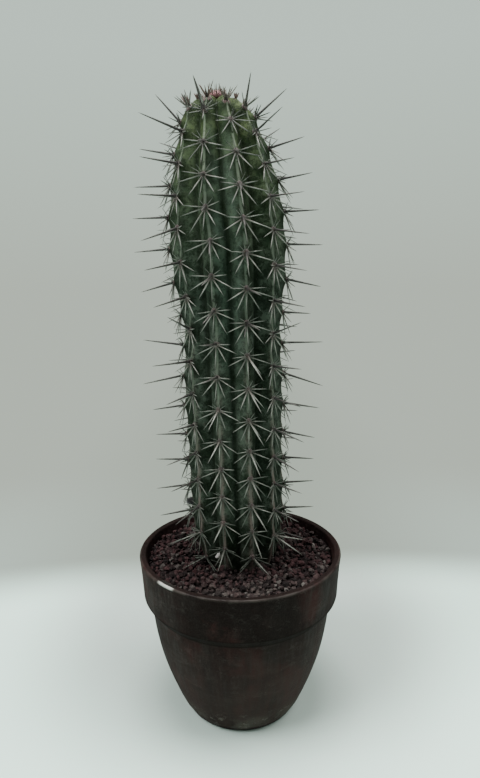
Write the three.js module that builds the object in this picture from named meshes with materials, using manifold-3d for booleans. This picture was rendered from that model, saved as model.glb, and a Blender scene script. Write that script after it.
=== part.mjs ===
// A columnar cactus with ten ribs, growing in a dark clay pot that is topped with lava grit.
// Millimetres, +Z up, the origin at the middle of the pot's foot, the front towards -Y.

import * as THREE from 'three';
import { mergeVertices } from 'three/addons/utils/BufferGeometryUtils.js';
import Module from 'manifold-3d';

const wasm = await Module();
wasm.setup();

// Clearance between pieces that lie against each other.
const gap = 0.3;

// The pot: a tapered body under a tall collar.
const potSegments = 48;
const potHeight = 148;
const rimRadius = 90.7;
const rimRounding = 1.6;
const collarHeight = 36;
const collarFootRadius = 88.2;
const collarUnderside = 10;
const bodyTopRadius = 81.5;
const bodyFootRadius = 55.4;
const bodyBulge = 4.8;
const footRadius = 52.4;
const footRounding = 3;
const wallThickness = 6;
const floorThickness = 9;
const drainRadius = 11;
// The heights at which the hollow's wall bends.
const hollowBends = [50, 90, 129];

// What fills the pot, by height.
const soilTop = 129;
const gravelTop = 139.5;

// The grains of grit, larger than life so that they can cover the soil.
const grainCount = 220;
const grainRadius = 6;
const grainFlatness = 0.7;

// The stem's ribs.
const ribCount = 10;
const pointsPerRib = 4;
const firstRibAngle = THREE.MathUtils.degToRad(-18);
const ribDepthShare = 0.21;
const flankCurve = 1.35;
const ribsStart = 122;
const ribsFull = 158;

// Heights of the stem, from the tip of its root to its crown, each with the sideways lean of
// the stem's middle and the radius over the rib crests there.
const stemStations = [
  [96, 0, 8],
  [108, 0, 17],
  [126, -0.3, 27],
  [145, -0.9, 34],
  [165, -1.9, 38],
  [190, -2.4, 40],
  [245, -3.6, 40.4],
  [300, -4.6, 41.4],
  [345, -5, 40],
  [365, -5.8, 42.3],
  [385, -6.6, 45.3],
  [410, -7.7, 47],
  [440, -9, 45.8],
  [470, -10.4, 41],
  [493, -12.1, 35],
  [510, -14, 28.8],
  [518, -14.7, 24.4],
  [524.5, -15, 15],
  [527, -15, 0],
];

// How far some ribs wander round the stem from their even places: height and degrees.
const ribWander = {
  0: [[96, 1.8], [290, 1.8], [330, 0.8], [385, 1.5], [412, 3.8], [440, 0], [465, -1.8], [527, -1.5]],
  1: [[96, 0], [220, -1], [300, -1.6], [416, -1], [440, -3], [500, -2.2], [527, -1]],
  2: [[96, -1], [180, -4], [330, -4], [350, -1.5], [375, -4.5], [400, -6], [500, -5], [527, -2]],
  9: [[96, 3.5], [290, 4], [315, 0], [350, 0], [375, 4], [420, 3], [445, 0.5], [527, 0]],
};

// Heights of the areoles on a rib, by their number from the soil upwards.
const areoleStations = [
  [-1, 141],
  [4, 259],
  [10, 416],
  [14, 511.5],
  [15, 521.5],
  [16, 526],
];
const lowestAreole = -0.45;
const lastFullAreole = 15;
// How far each rib's areoles stand below those of the first rib, in shares of their spacing:
// low on the stem and high on it, and the two numbers between which one turns into the other.
const lowAreoleSteps = [0.03, 0.39, 0.78, 0.15, 0.6, 0, 0.42, 0.8, 0.2, 0.62];
const highAreoleSteps = [0.05, 0.37, 0.66, -0.07, 0.6, 0, 0.42, 0.8, 0.1, 0.6];
const stepsTurn = [8, 12];

// One areole: a felt cushion with seven spines lying back against the rib and a long one
// standing out of its middle. Angles are measured from the spine that points down the rib.
const areoleRadius = 2.3;
const areoleHeight = 1.8;
const areoleRoot = 2.6;
const sideSpines = [
  { angle: 0, length: 19 },
  { angle: 38, length: 18.5 },
  { angle: 68, length: 17 },
  { angle: 100, length: 15.5 },
  { angle: 180, length: 0 },
  { angle: -100, length: 15.5 },
  { angle: -68, length: 17 },
  { angle: -38, length: 18.5 },
];
const sideSpineLift = THREE.MathUtils.degToRad(21);
const middleSpineRadius = 0.85;
const youngSize = 0.5;
// Spines are kept this far above the grit.
const spineFloor = gravelTop + 7;

// The long spine's length and upward tilt by its height on the stem.
const middleSpineStations = [
  [150, 27, -5],
  [250, 30, -6],
  [300, 34, -5],
  [380, 30, -4],
  [470, 31, -5],
  [500, 31, 6],
  [527, 24, 24],
];

const potMaterial = new THREE.MeshStandardMaterial({ color: 0x2f2a27, roughness: 0.85, metalness: 0 });
const soilMaterial = new THREE.MeshStandardMaterial({ color: 0x241b17, roughness: 1, metalness: 0 });
const gritMaterial = new THREE.MeshStandardMaterial({
  color: 0x4b3333,
  roughness: 0.95,
  metalness: 0,
  flatShading: true,
});
const stemMaterial = new THREE.MeshStandardMaterial({
  color: 0x33503d,
  roughness: 0.55,
  metalness: 0,
  flatShading: true,
});

function solidFrom(geometry) {
  geometry.deleteAttribute('normal');
  geometry.deleteAttribute('uv');
  const merged = mergeVertices(geometry, 1e-4);
  return new wasm.Manifold(new wasm.Mesh({
    numProp: 3,
    vertProperties: Float32Array.from(merged.attributes.position.array),
    triVerts: Uint32Array.from(merged.index.array),
  }));
}

function geometryFrom(solid) {
  const mesh = solid.getMesh();
  const geometry = new THREE.BufferGeometry();
  geometry.setAttribute('position', new THREE.BufferAttribute(mesh.vertProperties, 3));
  geometry.setIndex(new THREE.BufferAttribute(mesh.triVerts, 1));
  geometry.computeVertexNormals();
  return geometry;
}

// Turns a half outline, given as [radius, height] points, round the upright axis.
function turned(outline, segments) {
  const points = outline.map(([radius, height]) => new THREE.Vector2(radius, height));
  return new THREE.LatheGeometry(points, segments).rotateX(Math.PI / 2);
}

// Reads a list of stations at a place along it: straight lines between neighbouring rows.
function readStations(stations, place) {
  let row = stations.findIndex((station) => station[0] > place);
  if (row < 0) row = stations.length - 1;
  row = Math.max(row, 1);
  const below = stations[row - 1];
  const above = stations[row];
  const share = (place - below[0]) / (above[0] - below[0]);
  return below.map((value, i) => THREE.MathUtils.lerp(value, above[i], share));
}

function jitter(amount) {
  return 1 + amount * (2 * THREE.MathUtils.seededRandom() - 1);
}

// The pot's outer half outline from the foot to the rim's outer edge.
function potOutside() {
  const collarFoot = potHeight - collarHeight;
  const bodyTop = collarFoot - collarUnderside;
  const bodySteps = 4;
  const outline = [
    [drainRadius, 0],
    [footRadius - footRounding, 0],
    [footRadius, footRounding * 0.4],
  ];
  for (let i = 0; i <= bodySteps; i += 1) {
    const share = i / bodySteps;
    const straight = THREE.MathUtils.lerp(bodyFootRadius, bodyTopRadius, share);
    const bulge = bodyBulge * Math.sin(Math.PI * share);
    outline.push([straight + bulge, THREE.MathUtils.lerp(footRounding * 2, bodyTop, share)]);
  }
  outline.push(
    [THREE.MathUtils.lerp(bodyTopRadius, collarFootRadius, 0.72), bodyTop + collarUnderside * 0.55],
    [collarFootRadius, collarFoot],
    [rimRadius, potHeight - rimRounding],
    [rimRadius - rimRounding, potHeight],
  );
  return outline;
}

// The radius of the pot's hollow at a height, which runs in a gentle curve to the floor.
function hollowRadius(height) {
  const share = (height - floorThickness) / (potHeight - floorThickness);
  const bottom = bodyFootRadius - wallThickness;
  const straight = THREE.MathUtils.lerp(bottom, rimRadius - wallThickness, share);
  return straight + bodyBulge * 0.8 * Math.sin(Math.PI * share);
}

// The hollow's half outline between two heights, upwards, with room left at its wall.
function hollowOutline(from, to, room) {
  const bends = hollowBends.filter((height) => height > from && height < to);
  return [from, ...bends, to].map((height) => [hollowRadius(height) - room, height]);
}

function makePot() {
  const inside = hollowOutline(floorThickness, potHeight - rimRounding, 0).reverse();
  const rimInner = [rimRadius - wallThickness + rimRounding, potHeight];
  const outside = potOutside();
  const outline = [...outside, rimInner, ...inside, [drainRadius, floorThickness], outside[0]];
  return solidFrom(turned(outline, potSegments));
}

// A plug that fills the hollow between two heights, clear of its wall.
function hollowFilling(from, to) {
  const wall = hollowOutline(from, to, gap);
  return solidFrom(turned([[0, from], ...wall, [0, to]], potSegments));
}

// How far the ribs stand out at a height: none on the root, all of it on the free stem.
function ribDepth(height, radius) {
  return radius * ribDepthShare * THREE.MathUtils.smoothstep(height, ribsStart, ribsFull);
}

// The angle from the front to a rib's crest at a height.
function crestAngle(rib, height) {
  const wander = ribWander[rib % ribCount];
  const turn = wander ? readStations(wander, height)[1] : 0;
  return firstRibAngle + THREE.MathUtils.degToRad(turn) + (rib * 2 * Math.PI) / ribCount;
}

// The direction that a place round the stem, counted in ribs, faces at a height.
function ribDirection(place, height) {
  const rib = Math.floor(place);
  const crests = [crestAngle(rib, height), crestAngle(rib + 1, height)];
  const angle = THREE.MathUtils.lerp(crests[0], crests[1], place - rib);
  return new THREE.Vector3(Math.sin(angle), -Math.cos(angle), 0);
}

// The ribbed stem with its buried root. Grown outwards a little, it cuts its own hole.
function makeStem(grow) {
  const around = ribCount * pointsPerRib;
  const positions = [];
  const triangles = [];
  const levels = stemStations.slice(0, -1);
  levels.forEach(([height, lean, radius], level) => {
    for (let i = 0; i < around; i += 1) {
      const place = i / pointsPerRib;
      const offCrest = 2 * Math.abs(place - Math.round(place));
      const reach = radius + grow - ribDepth(height, radius) * offCrest ** flankCurve;
      const point = ribDirection(place, height).multiplyScalar(reach);
      positions.push(point.x + lean, point.y, level === 0 ? height - grow : height);
      if (level > 0) {
        const here = level * around + i;
        const next = level * around + ((i + 1) % around);
        triangles.push(here - around, next - around, next, here - around, next, here);
      }
    }
  });
  const foot = stemStations[0];
  const crown = stemStations[stemStations.length - 1];
  const footIndex = levels.length * around;
  positions.push(foot[1], 0, foot[0] - grow, crown[1], 0, crown[0] + grow);
  for (let i = 0; i < around; i += 1) {
    const next = (i + 1) % around;
    const top = footIndex - around;
    triangles.push(footIndex, next, i, footIndex + 1, top + i, top + next);
  }
  return solidFrom(indexedGeometry(positions, triangles));
}

function indexedGeometry(positions, triangles) {
  const geometry = new THREE.BufferGeometry();
  geometry.setAttribute('position', new THREE.Float32BufferAttribute(positions, 3));
  geometry.setIndex(triangles);
  return geometry;
}

// The place of an areole on its rib's crest, with the directions out, up and sideways there.
function areoleFrame(rib, height) {
  const [, lean, radius] = readStations(stemStations, height);
  const outward = ribDirection(rib, height);
  const upper = readStations(stemStations, height + 3);
  const lower = readStations(stemStations, height - 3);
  const up = outward.clone().multiplyScalar(upper[2] - lower[2]);
  up.add(new THREE.Vector3(upper[1] - lower[1], 0, upper[0] - lower[0])).normalize();
  const side = new THREE.Vector3().crossVectors(up, outward).normalize();
  const out = new THREE.Vector3().crossVectors(side, up).normalize();
  const origin = outward.clone().multiplyScalar(radius).add(new THREE.Vector3(lean, 0, height));
  return { origin, out, up, side };
}

// Swings a spine that would dip into the grit up over it, at its full length.
function clearOfGrit(base, tip) {
  if (tip.z >= spineFloor) return tip;
  const length = base.distanceTo(tip);
  const drop = spineFloor - base.z;
  const level = new THREE.Vector3(tip.x - base.x, tip.y - base.y, 0).normalize();
  level.multiplyScalar(Math.sqrt(length ** 2 - drop ** 2));
  return new THREE.Vector3(base.x, base.y, spineFloor).add(level);
}

// One areole with its spines. Each facet of the cushion's rim is drawn out into a side
// spine, and the small triangle in its middle into the long spine.
function makeAreole(rib, height, size) {
  const { origin, out, up, side } = areoleFrame(rib, height);
  const place = (angle, radius, lift) => {
    const turn = THREE.MathUtils.degToRad(angle);
    return origin.clone()
      .addScaledVector(up, -Math.cos(turn) * radius)
      .addScaledVector(side, Math.sin(turn) * radius)
      .addScaledVector(out, lift);
  };
  const count = sideSpines.length;
  const points = [place(0, 0, -areoleRoot * size)];
  for (let i = 0; i < count; i += 1) {
    const before = sideSpines[(i + count - 1) % count].angle;
    const turn = sideSpines[i].angle - before;
    const edge = before + (turn < 0 ? turn + 360 : turn) / 2;
    points.push(place(edge, areoleRadius * size, 0.4 * size));
  }
  const middle = points.length;
  for (const angle of [0, 120, 240]) {
    points.push(place(angle, middleSpineRadius * size, areoleHeight * size));
  }
  // The middle's corner that each facet of the rim reaches up to.
  const corners = [0, 0, 1, 1, 1, 2, 2, 0];
  const triangles = [];
  sideSpines.forEach(({ angle, length }, i) => {
    const from = 1 + i;
    const to = 1 + ((i + 1) % count);
    const corner = middle + corners[i];
    const nextCorner = middle + corners[(i + 1) % count];
    triangles.push(0, to, from);
    if (nextCorner !== corner) triangles.push(to, nextCorner, corner);
    if (length === 0) {
      triangles.push(from, to, corner);
      return;
    }
    const reach = length * size * jitter(0.1);
    const lift = sideSpineLift * jitter(0.3);
    const tip = place(angle + 5 * (jitter(1) - 1), reach * Math.cos(lift), reach * Math.sin(lift));
    points.push(clearOfGrit(origin, tip));
    const tipIndex = points.length - 1;
    triangles.push(from, to, tipIndex, to, corner, tipIndex, corner, from, tipIndex);
  });
  const [, length, tilt] = readStations(middleSpineStations, height);
  const angle = THREE.MathUtils.degToRad(tilt + 7 * (jitter(1) - 1));
  const reach = length * size * jitter(0.12);
  const sway = reach * 0.08 * (jitter(1) - 1);
  const tip = origin.clone()
    .addScaledVector(out, reach * Math.cos(angle))
    .addScaledVector(up, reach * Math.sin(angle))
    .addScaledVector(side, sway);
  points.push(clearOfGrit(origin, tip));
  const tipIndex = points.length - 1;
  for (let i = 0; i < 3; i += 1) {
    triangles.push(middle + i, middle + ((i + 1) % 3), tipIndex);
  }
  return solidFrom(indexedGeometry(points.flatMap((point) => point.toArray()), triangles));
}

function makeCactus() {
  THREE.MathUtils.seededRandom(11);
  let cactus = makeStem(0);
  for (let rib = 0; rib < ribCount; rib += 1) {
    for (let number = 0; number <= lastFullAreole + 1; number += 1) {
      const turn = THREE.MathUtils.smoothstep(number, ...stepsTurn);
      const place = number - THREE.MathUtils.lerp(lowAreoleSteps[rib], highAreoleSteps[rib], turn);
      if (place >= lowestAreole && place < lastFullAreole + 1) {
        const height = readStations(areoleStations, place)[1];
        const size = place < lastFullAreole ? 1 : youngSize;
        cactus = cactus.add(makeAreole(rib, height, size));
      }
    }
  }
  return cactus;
}

// One broken grain of grit: eight faces between six uneven corners, turned at random.
function makeGrain(x, y, z, radius) {
  const corners = [];
  for (const [along, sign] of [[0, 1], [1, 1], [0, -1], [1, -1], [2, 1], [2, -1]]) {
    corners.push(new THREE.Vector3().setComponent(along, sign * radius * jitter(0.25)));
  }
  const triangles = [];
  for (let i = 0; i < 4; i += 1) {
    const next = (i + 1) % 4;
    triangles.push(i, next, 4, next, i, 5);
  }
  const geometry = indexedGeometry(corners.flatMap((corner) => corner.toArray()), triangles);
  geometry.rotateX(Math.PI * THREE.MathUtils.seededRandom());
  geometry.rotateZ(2 * Math.PI * THREE.MathUtils.seededRandom());
  geometry.scale(1, 1, grainFlatness);
  geometry.translate(x, y, z);
  return solidFrom(geometry);
}

// The bed of grit: grains sown evenly in a sunflower's spiral on a shallow layer.
function makeGravel() {
  THREE.MathUtils.seededRandom(29);
  const outer = hollowRadius(gravelTop) - grainRadius * 0.5;
  const inner = readStations(stemStations, gravelTop)[2] * (1 - ribDepthShare);
  const goldenAngle = Math.PI * (3 - Math.sqrt(5));
  let bed = hollowFilling(soilTop + gap, gravelTop);
  for (let i = 0; i < grainCount; i += 1) {
    const share = (i + 0.5) / grainCount;
    const radius = Math.sqrt(THREE.MathUtils.lerp(inner ** 2, outer ** 2, share));
    const angle = i * goldenAngle;
    const height = gravelTop - grainRadius * 0.2 * jitter(1);
    const size = grainRadius * jitter(0.18);
    bed = bed.add(makeGrain(radius * Math.cos(angle), radius * Math.sin(angle), height, size));
  }
  const room = hollowFilling(soilTop + gap, potHeight);
  return bed.intersect(room).subtract(makeStem(gap));
}

function makeSoil() {
  return hollowFilling(floorThickness + gap, soilTop).subtract(makeStem(gap));
}

const model = new THREE.Group();

function place(name, solid, material) {
  const mesh = new THREE.Mesh(geometryFrom(solid), material);
  mesh.name = name;
  model.add(mesh);
}

place('pot', makePot(), potMaterial);
place('soil', makeSoil(), soilMaterial);
place('gravel', makeGravel(), gritMaterial);
place('cactus', makeCactus(), stemMaterial);

export default model;
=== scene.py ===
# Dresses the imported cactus: a fine pot, ribbed stem, felt areoles, spines, grit, stage and light.
import math
import random

import bpy
import numpy as np
from mathutils import Matrix, Vector, noise


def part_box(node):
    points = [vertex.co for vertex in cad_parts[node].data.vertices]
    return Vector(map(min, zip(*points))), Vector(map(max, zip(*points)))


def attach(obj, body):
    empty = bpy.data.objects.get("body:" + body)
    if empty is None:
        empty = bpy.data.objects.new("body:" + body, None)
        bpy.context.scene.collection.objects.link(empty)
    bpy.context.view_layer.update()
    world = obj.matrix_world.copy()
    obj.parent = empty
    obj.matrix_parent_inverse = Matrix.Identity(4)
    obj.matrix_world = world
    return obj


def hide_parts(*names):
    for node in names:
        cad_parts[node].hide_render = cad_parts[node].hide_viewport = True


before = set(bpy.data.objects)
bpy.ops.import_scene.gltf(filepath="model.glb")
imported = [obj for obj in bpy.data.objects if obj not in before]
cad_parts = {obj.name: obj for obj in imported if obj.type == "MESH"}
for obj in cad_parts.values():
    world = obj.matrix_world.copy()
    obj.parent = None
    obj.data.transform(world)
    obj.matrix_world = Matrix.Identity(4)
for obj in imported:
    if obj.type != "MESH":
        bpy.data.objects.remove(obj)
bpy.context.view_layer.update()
mm = 0.001
up = Vector((0, 0, 1))
goldenTurn = math.pi * (3 - math.sqrt(5))   # from one to the next, spreads many things evenly


# Tools that every piece uses

def selectNothing():
    if bpy.context.object and bpy.context.object.mode != "OBJECT":
        bpy.ops.object.mode_set(mode="OBJECT")
    bpy.ops.object.select_all(action="DESELECT")


def select(obj):
    selectNothing()
    obj.select_set(True)
    bpy.context.view_layer.objects.active = obj


def editAll(obj):
    select(obj)
    bpy.ops.object.mode_set(mode="EDIT")
    bpy.ops.mesh.select_all(action="SELECT")


def endEdit():
    bpy.ops.object.mode_set(mode="OBJECT")
    return bpy.context.object


def settle(obj):
    # the finished object sits at the origin, with its place in its mesh
    select(obj)
    bpy.ops.object.transform_apply(location=True, rotation=True, scale=True)
    return obj


def pullUp(name, rings, corners, filled):
    # Starts with a circle and pulls its edge, or the whole filled disc, from ring to ring.
    # Each ring is (radius, height, lean).
    radius, height, lean = rings[0]
    selectNothing()
    bpy.ops.mesh.primitive_circle_add(vertices=corners, radius=radius, location=(lean, 0, height),
                                      fill_type="TRIFAN" if filled else "NOTHING")
    obj = settle(bpy.context.object)
    obj.name = name
    editAll(obj)
    for nextRadius, nextHeight, nextLean in rings[1:]:
        rise = (nextLean - lean, 0, nextHeight - height)
        bpy.ops.mesh.extrude_region_move(TRANSFORM_OT_translate={"value": rise})
        share = nextRadius / radius
        bpy.ops.transform.resize(value=(share, share, 1),
                                 center_override=(nextLean, 0, nextHeight))
        radius, height, lean = nextRadius, nextHeight, nextLean
    return endEdit()


def closeUp(obj):
    editAll(obj)
    bpy.ops.mesh.remove_doubles(threshold=0.01 * mm)
    bpy.ops.mesh.normals_make_consistent(inside=False)
    return endEdit()


def readPlaces(obj):
    places = np.empty(len(obj.data.vertices) * 3)
    obj.data.vertices.foreach_get("co", places)
    return places.reshape(-1, 3)


def setPlaces(obj, places):
    obj.data.vertices.foreach_set("co", places.ravel())


def giveValues(obj, name, values):
    mesh = obj.data
    layer = mesh.attributes.get(name) or mesh.attributes.new(name, "FLOAT", "POINT")
    values = np.broadcast_to(values, len(mesh.vertices))
    layer.data.foreach_set("value", values.astype(np.float32))


def pushOut(obj, amounts, name):
    # Weights hold how far each corner goes, and a Displace modifier moves it along its normal.
    for side in (-1, 1):
        reach = float((side * amounts).max())
        if reach <= 0:
            continue
        group = obj.vertex_groups.new(name=name)
        for index in np.nonzero(side * amounts > 0)[0]:
            group.add([int(index)], float(side * amounts[index] / reach), "REPLACE")
        select(obj)
        move = obj.modifiers.new(name, "DISPLACE")
        move.strength, move.mid_level, move.direction = side * reach, 0, "NORMAL"
        move.vertex_group = group.name
        bpy.ops.object.modifier_apply(modifier=move.name)
        obj.vertex_groups.clear()


def copyAt(model, matrix, tint, shade=0):
    piece = model.copy()
    piece.data = model.data.copy()
    piece.data.transform(matrix)
    giveValues(piece, "tint", tint)
    giveValues(piece, "shade", shade)
    bpy.context.collection.objects.link(piece)
    return piece


def joined(pieces, name):
    selectNothing()
    for piece in pieces:
        piece.select_set(True)
    bpy.context.view_layer.objects.active = pieces[0]
    bpy.ops.object.join()
    obj = bpy.context.object
    obj.name = name
    obj.data.name = name
    return obj


def discard(models):
    for model in models:
        bpy.data.objects.remove(model)


def smooth(obj, degrees):
    # edges that turn by more than this stay sharp
    select(obj)
    bpy.ops.object.shade_smooth_by_angle(angle=math.radians(degrees))


def dress(obj, material):
    obj.data.materials.clear()
    obj.data.materials.append(material)


def seat(obj, material, node):
    # A finished piece gets its material, rides with the pot and stands for its CAD node.
    dress(obj, material)
    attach(obj, "root")
    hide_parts(node)


def softStep(low, high, value):
    share = np.clip((value - low) / (high - low), 0, 1)
    return share * share * (3 - 2 * share)


def readTable(stations, place):
    # straight lines between the stations of a table
    return np.interp(place, *zip(*stations))


def vary(amount):
    return random.uniform(-amount, amount)


def sized(x, y, z):
    return Matrix.Diagonal((x, y, z, 1))


def spread(count):
    # evenly over a disc from its middle outwards: across, along and how far out, up to 1
    for i in range(count):
        turn, share = i * goldenTurn, math.sqrt((i + 0.5) / count)
        yield math.cos(turn) * share, math.sin(turn) * share, share


# Materials: a socket that is added, multiplied and compared like a number

class Wire:
    def __init__(self, nodes, socket):
        self.nodes, self.socket = nodes, socket

    def maths(self, operation, other, swapped=False):
        values = (other, self) if swapped else (self, other)
        settings = {"operation": operation}
        return self.nodes.node("ShaderNodeMath", settings, dict(enumerate(values)))

    def __add__(self, other): return self.maths("ADD", other)
    def __sub__(self, other): return self.maths("SUBTRACT", other)
    def __mul__(self, other): return self.maths("MULTIPLY", other)
    def __truediv__(self, other): return self.maths("DIVIDE", other)
    def __pow__(self, other): return self.maths("POWER", other)
    def __rsub__(self, other): return self.maths("SUBTRACT", other, True)
    __radd__ = __add__
    __rmul__ = __mul__

    def between(self, low, high):
        # 0 at low, 1 at high, with a soft start and end
        return self.nodes.node("ShaderNodeMapRange", {"interpolation_type": "SMOOTHSTEP"},
                               {"Value": self, "From Min": low, "From Max": high})


class Nodes:
    # the nodes of a material or of the room, with the table of their colours and patterns
    def __init__(self, owner, main, place, look=None):
        owner.use_nodes = True
        self.tree, self.look = owner.node_tree, look
        self.shader = self.tree.nodes[main]
        self.place = self.node("ShaderNodeTexCoord", output=place)

    def node(self, kind, settings=None, inputs=None, output=0):
        made = self.tree.nodes.new(kind)
        for key, value in (settings or {}).items():
            if key == "stops":
                self.setStops(made.color_ramp, value)
            else:
                setattr(made, key, value)
        for key, value in (inputs or {}).items():
            self.feed(made.inputs[key], value)
        return Wire(self, made.outputs[output])

    def setStops(self, ramp, stops):
        while len(ramp.elements) < len(stops):
            ramp.elements.new(0.5)
        for element, (position, colour) in zip(ramp.elements, stops):
            element.position = position
            element.color = (*colour, 1)

    def feed(self, socket, value):
        if isinstance(value, str):
            value = self.look[value]   # a name in the table
        if isinstance(value, Wire):
            self.tree.links.new(value.socket, socket)
        elif isinstance(value, tuple) and len(value) == 3 and socket.type == "RGBA":
            socket.default_value = (*value, 1)
        else:
            socket.default_value = value

    def set(self, name, value):
        self.feed(self.shader.inputs[name], value)

    def attribute(self, name):
        return self.node("ShaderNodeAttribute", {"attribute_name": name}, output="Fac")

    def axes(self):
        split = self.node("ShaderNodeSeparateXYZ", inputs={0: self.place}).socket.node
        return [Wire(self, split.outputs[i]) for i in range(3)]

    def join(self, x, y, z):
        return self.node("ShaderNodeCombineXYZ", inputs={0: x, 1: y, 2: z})

    def noise(self, scale, detail, rough, place=None, stretch=(1, 1, 1)):
        moved = self.node("ShaderNodeMapping",
                          inputs={"Vector": place or self.place, "Scale": stretch})
        return self.node("ShaderNodeTexNoise", inputs={
            "Vector": moved, "Scale": scale, "Detail": detail, "Roughness": rough})

    def pattern(self, name, place=None, stretch=(1, 1, 1)):
        scale, detail, rough, low, high = self.look[name]
        return self.noise(scale, detail, rough, place, stretch).between(low, high)

    def cells(self, scale):
        return self.node("ShaderNodeTexVoronoi", inputs={"Vector": self.place, "Scale": scale},
                         output="Distance")

    def mix(self, share, first, second):
        return self.node("ShaderNodeMix", {"data_type": "RGBA"}, {0: share, 6: first, 7: second},
                         output=2)

    def layers(self, ground, *rows):
        # each row is how strongly a colour covers what is under it, and the colour
        for share, colour in rows:
            ground = self.mix(share, ground, colour)
        return ground

    def blend(self, share, first, second):
        return self.node("ShaderNodeMixShader", inputs={0: share, 1: first, 2: second})

    def ramp(self, value, name):
        settings = {"stops": self.look[name]}
        return self.node("ShaderNodeValToRGB", settings, {0: value}, output="Color")

    def bump(self, height, strength, distance, under=None):
        inputs = {"Height": height, "Strength": strength, "Distance": distance}
        if under:
            inputs["Normal"] = under
        made = self.node("ShaderNodeBump", inputs=inputs, output="Normal")
        self.set("Normal", made)
        return made


class Finish(Nodes):
    def __init__(self, name, roughness, look=None):
        self.material = bpy.data.materials.new(name)
        super().__init__(self.material, "Principled BSDF", "Object", look)
        self.set("Roughness", roughness)


# The pot

pot = {
    "corners": 192,
    "collarHeight": 36 * mm,
    "collarFootRadius": 88.2 * mm,
    "collarUnderside": 10 * mm,
    "collarHollow": 0.25 * mm,
    "hipRounding": 2.2 * mm,   # where the underside turns into the collar
    "bodyTopRadius": 81.5 * mm,
    "bodyFootRadius": 55.4 * mm,
    "bodyBulge": 4.8 * mm,
    "footRadius": 52.4 * mm,
    "footRounding": 3 * mm,
    "wall": 6 * mm,
    "floor": 9 * mm,
    "drainRadius": 11 * mm,
    "drainRounding": 0.6 * mm,
    "rimRounding": 1.6 * mm,
    "wobble": 0.35 * mm,
    "bodySteps": 26,
    "collarSteps": 9,
    "hollowSteps": 16,
    "roundingSteps": 6,
}
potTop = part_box("pot")[1].z
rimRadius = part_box("pot")[1].x
bodyTop = potTop - pot["collarHeight"] - pot["collarUnderside"]


def arc(centreRadius, centreHeight, radius, fromAngle, toAngle):
    # points on a round edge in the pot's half outline; 0 degrees faces outwards, 90 up
    steps = pot["roundingSteps"]
    turns = [math.radians(fromAngle + (toAngle - fromAngle) * i / steps) for i in range(steps + 1)]
    return [(centreRadius + radius * math.cos(t), centreHeight + radius * math.sin(t))
            for t in turns]


def flank(foot, top, low, high, bulge, steps, last):
    # points up a side from foot to top radius that swells in its middle, or sinks in
    for i in range(1, last + 1):
        share = i / steps
        swell = bulge * math.sin(math.pi * share)
        yield foot + (top - foot) * share + swell, low + (high - low) * share


def hollowRadius(height):
    share = (height - pot["floor"]) / (potTop - pot["floor"])
    bottom = pot["bodyFootRadius"] - pot["wall"]
    straight = bottom + (rimRadius - pot["wall"] - bottom) * share
    return straight + 0.8 * pot["bodyBulge"] * math.sin(math.pi * share)


def potOutline():
    collarFoot = potTop - pot["collarHeight"]
    edge, hip, lip = pot["footRounding"], pot["hipRounding"], pot["rimRounding"]
    foot, waist, collar = pot["bodyFootRadius"], pot["bodyTopRadius"], pot["collarFootRadius"]
    drain, bevel, floor = pot["drainRadius"], pot["drainRounding"], pot["floor"]
    # under the foot and up the bulging body
    outline = [(drain + bevel, 0), (pot["footRadius"] * 0.7, 0)]
    outline += arc(pot["footRadius"] - edge, edge, edge, -90, -20)
    steps = pot["bodySteps"]
    outline += flank(foot, waist, 2 * edge, bodyTop, pot["bodyBulge"], steps, steps)
    # out under the collar, and up its slightly hollow side
    outline += [(waist + 1.1 * mm, bodyTop + 1.9 * mm), (waist + 3.2 * mm, bodyTop + 4 * mm)]
    outline += arc(collar - hip, collarFoot - 0.6 * mm, hip, -48, 0)
    low, high, steps = collarFoot + 0.5 * mm, potTop - lip, pot["collarSteps"]
    outline += flank(collar, rimRadius, low, high, -pot["collarHollow"], steps, steps - 1)
    # over the rim and down inside
    outline += arc(rimRadius - lip, potTop - lip, lip, 0, 90)
    outline += arc(rimRadius - pot["wall"] + lip, potTop - lip, lip, 90, 180)
    top, bottom = potTop - 2 * lip, floor + 4 * mm
    steps = pot["hollowSteps"]
    for i in range(steps + 1):
        height = top + (bottom - top) * i / steps
        outline.append((hollowRadius(height), height))
    # along the floor and through the drain hole
    outline += [(hollowRadius(bottom) - 3 * mm, floor + 1 * mm),
                (hollowRadius(bottom) - 7 * mm, floor),
                (drain + bevel, floor), (drain, floor - bevel), (drain, bevel)]
    return outline + outline[:1]


def makePot():
    rings = [(radius, height, 0) for radius, height in potOutline()]
    obj = closeUp(pullUp("clayPot", rings, pot["corners"], False))
    # a pot pressed by hand is never quite round: slow waves, none at foot and rim
    places = readPlaces(obj)
    waves = [noise.noise(Vector(p) * 16) + 0.4 * noise.noise(Vector(p) * 45) for p in places]
    heights = places[:, 2]
    fade = softStep(1 * mm, 12 * mm, heights) * softStep(potTop, potTop - 9 * mm, heights)
    pushOut(obj, -np.abs(waves) * fade * pot["wobble"], "pressed")
    smooth(obj, 50)
    return obj


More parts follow.
